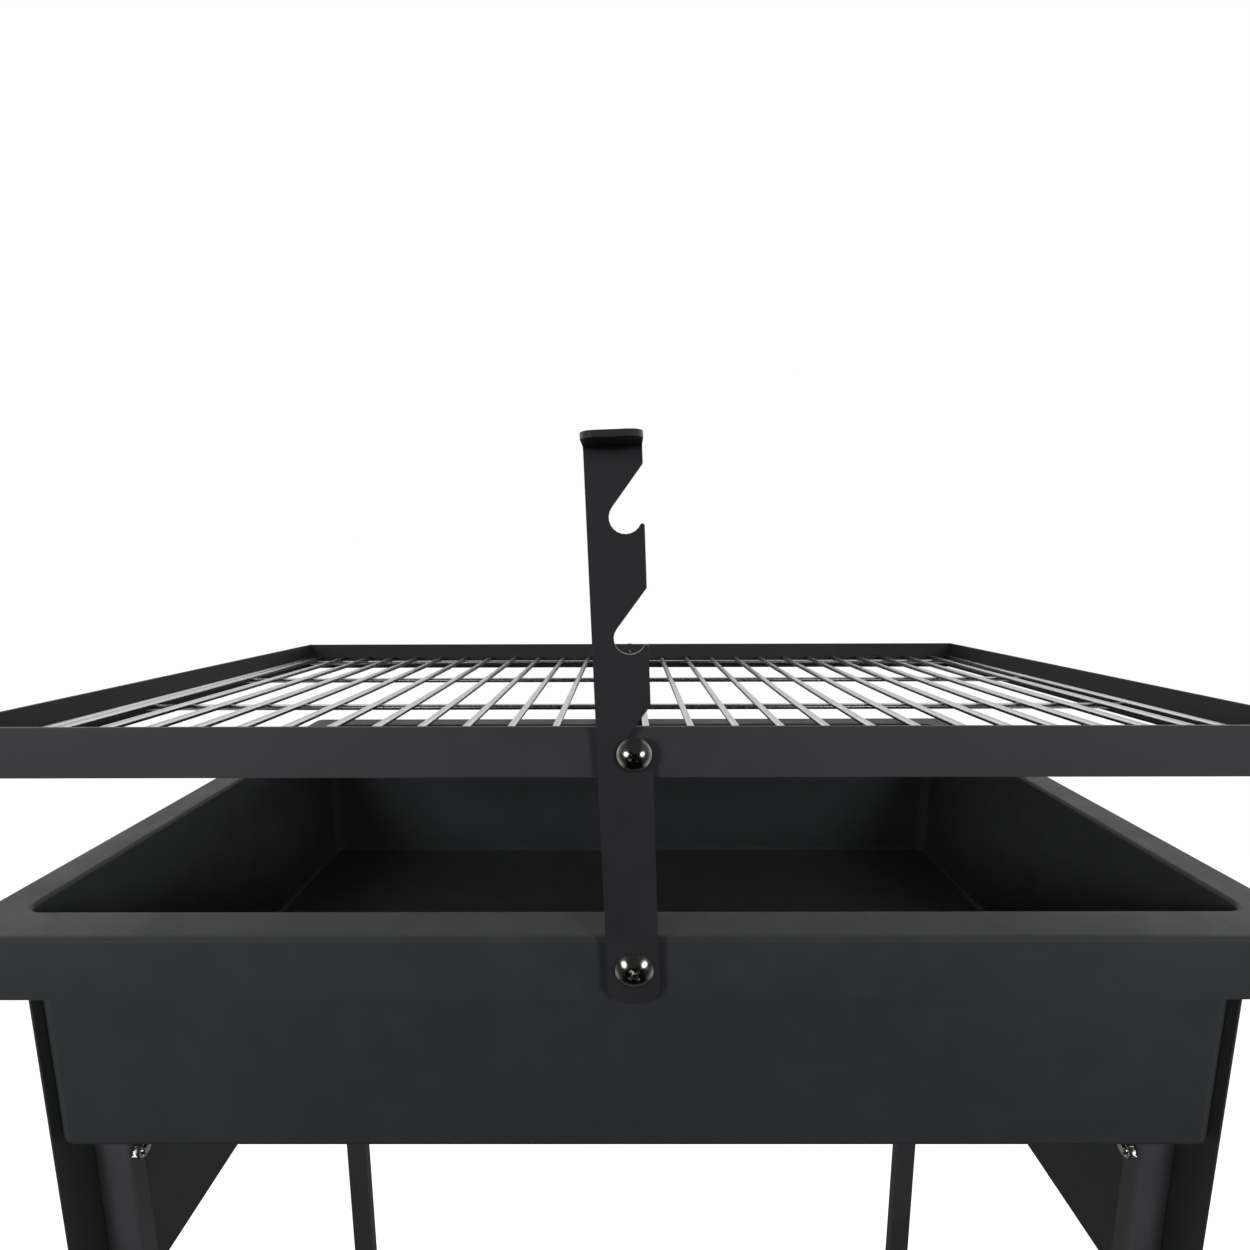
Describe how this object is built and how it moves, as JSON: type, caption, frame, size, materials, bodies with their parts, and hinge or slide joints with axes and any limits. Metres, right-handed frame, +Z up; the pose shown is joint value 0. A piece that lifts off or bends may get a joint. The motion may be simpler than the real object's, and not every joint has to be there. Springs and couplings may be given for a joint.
{
  "type": "charcoal grill",
  "caption": "Standing rectangular charcoal grill: open fire pan with turned rim on tube legs, wire grate hung in front from a notched rack and resting in a rear hook.",
  "frame": {"origin": "on the ground under the middle of the whole grill, 9.6 mm in front of the middle of its pan", "axes": "+Z up, +X along the pan to the right, -Y towards the front side that the picture shows"},
  "size_m": [0.6, 0.344, 0.9242],
  "materials": {
    "black_enamel": "satin",
    "rack_enamel": "satin",
    "galvanised_wire": "bright",
    "nickel_steel": "polished",
    "black_plastic": "matte"
  },
  "bodies": {
    "stand": {"fire_pan": "black_enamel", "end_apron_left": "black_enamel", "end_apron_right": "black_enamel", "rear_hook": "rack_enamel", "leg_front_left": "black_enamel", "foot_cap_front_left": "black_plastic", "leg_front_right": "black_enamel", "foot_cap_front_right": "black_plastic", "leg_back_left": "black_enamel", "foot_cap_back_left": "black_plastic", "leg_back_right": "black_enamel", "foot_cap_back_right": "black_plastic", "leg_screw_front_left_upper": "nickel_steel", "leg_nut_front_left_upper": "nickel_steel", "leg_screw_front_left_lower": "nickel_steel", "leg_nut_front_left_lower": "nickel_steel", "leg_screw_front_right_upper": "nickel_steel", "leg_nut_front_right_upper": "nickel_steel", "leg_screw_front_right_lower": "nickel_steel", "leg_nut_front_right_lower": "nickel_steel", "leg_screw_back_left_upper": "nickel_steel", "leg_nut_back_left_upper": "nickel_steel", "leg_screw_back_left_lower": "nickel_steel", "leg_nut_back_left_lower": "nickel_steel", "leg_screw_back_right_upper": "nickel_steel", "leg_nut_back_right_upper": "nickel_steel", "leg_screw_back_right_lower": "nickel_steel", "leg_nut_back_right_lower": "nickel_steel", "hook_screw_upper": "nickel_steel", "hook_screw_lower": "nickel_steel", "hook_nut_upper": "nickel_steel", "hook_nut_lower": "nickel_steel", "pivot_screw_front": "nickel_steel", "pivot_washer_front": "nickel_steel", "pivot_nut_front": "nickel_steel"},
    "grate": {"grate_rail_front": "black_enamel", "grate_rail_back": "black_enamel", "grate_rail_left": "black_enamel", "grate_rail_right": "black_enamel", "cooking_grid": "galvanised_wire", "hanger_screw_front": "nickel_steel", "hanger_bush_front": "nickel_steel", "hanger_nut_front": "nickel_steel", "hanger_screw_back": "nickel_steel", "hanger_nut_back": "nickel_steel"},
    "front_rack": {"rack_front": "rack_enamel"}
  },
  "joints": [
    {"name": "grate_tilt", "type": "hinge", "parent": "stand", "child": "grate", "pos_m": [0, 0.14657, 0.7871], "axis": [-1, 0, 0], "range_deg": [0, 18.3]},
    {"name": "front_rack_swing", "type": "hinge", "parent": "stand", "child": "front_rack", "pos_m": [0, -0.15123, 0.7085], "axis": [0, -1, 0], "range_deg": [0, 45]}
  ],
  "couplings": [
    {"joint": "front_rack_swing", "follows": "grate_tilt", "ratio": 2.25}
  ]
}
